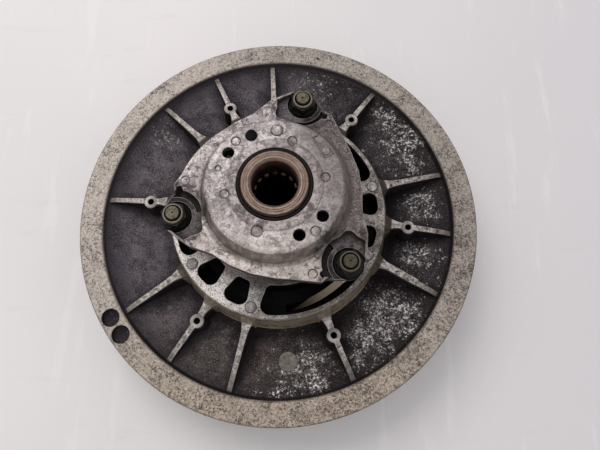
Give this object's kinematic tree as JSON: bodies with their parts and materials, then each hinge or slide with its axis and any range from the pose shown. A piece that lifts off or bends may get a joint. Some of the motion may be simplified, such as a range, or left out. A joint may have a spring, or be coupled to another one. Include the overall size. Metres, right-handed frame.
{
  "type": "driven cvt pulley",
  "caption": "Driven CVT belt pulley: fixed and sliding sheave halves on a splined hub, with torque cam, spring and lobed spring seat.",
  "frame": {"origin": "on the pulley axis at the underside of the hub flange, the plane the pulley stands on", "axes": "+Z along the pulley axis towards the spring seat; +X and +Y across the sheaves, the spring seat's first stud at 74.5 degrees from +X"},
  "size_m": [0.268, 0.268, 0.116],
  "materials": {
    "cast_aluminium_moving": "worn cast and turned",
    "cast_aluminium_fixed": "worn cast and turned",
    "seat_alloy": "die cast, smudged",
    "cam_alloy": "hard anodised, worn",
    "aluminium_rivet": "satin",
    "steel_plug": "dull",
    "bush_bronze": "satin",
    "black_rubber": "matt",
    "black_plastic": "matt",
    "plain_steel": "satin",
    "hub_steel": "turned, brown with age",
    "brown_steel": "dark brown",
    "black_steel": "black, oily",
    "zinc_steel": "dull olive zinc",
    "nylon": "satin",
    "spring_steel": "dark"
  },
  "bodies": {
    "fixed_half": {"fixed_sheave": "cast_aluminium_fixed", "hub_shaft": "hub_steel", "hub_rivets": "plain_steel", "stop_ring": "nylon", "cam_posts": "zinc_steel", "post_screws": "black_steel", "ramp_shoes": "nylon", "shoe_screws": "plain_steel", "spring_seat": "seat_alloy", "seat_bush": "black_plastic", "snap_ring": "brown_steel", "seat_washers": "black_steel", "flange_nuts": "zinc_steel", "torsion_spring": "spring_steel"},
    "bush_carrier": {"lower_bush": "bush_bronze", "upper_bush": "bush_bronze"},
    "sliding_half": {"sliding_sheave": "cast_aluminium_moving", "torque_cam": "cam_alloy", "cam_rivets": "aluminium_rivet", "balance_plug": "steel_plug", "hub_wiper": "black_rubber", "spring_washer": "plain_steel"}
  },
  "joints": [
    {"name": "sheave_shift", "type": "slide", "parent": "fixed_half", "child": "bush_carrier", "axis": [0, 0, 1], "range_m": [0, 0.024], "stiffness_N_per_m": 4000, "springref_m": -0.02, "deforming": ["torsion_spring"]},
    {"name": "sheave_twist", "type": "hinge", "parent": "bush_carrier", "child": "sliding_half", "pos_m": [0, 0, 0.052], "axis": [0, 0, 1], "range_deg": [0, 29.6]}
  ],
  "couplings": [
    {"joint": "sheave_twist", "follows": "sheave_shift", "rad_per_m": 21.505}
  ]
}
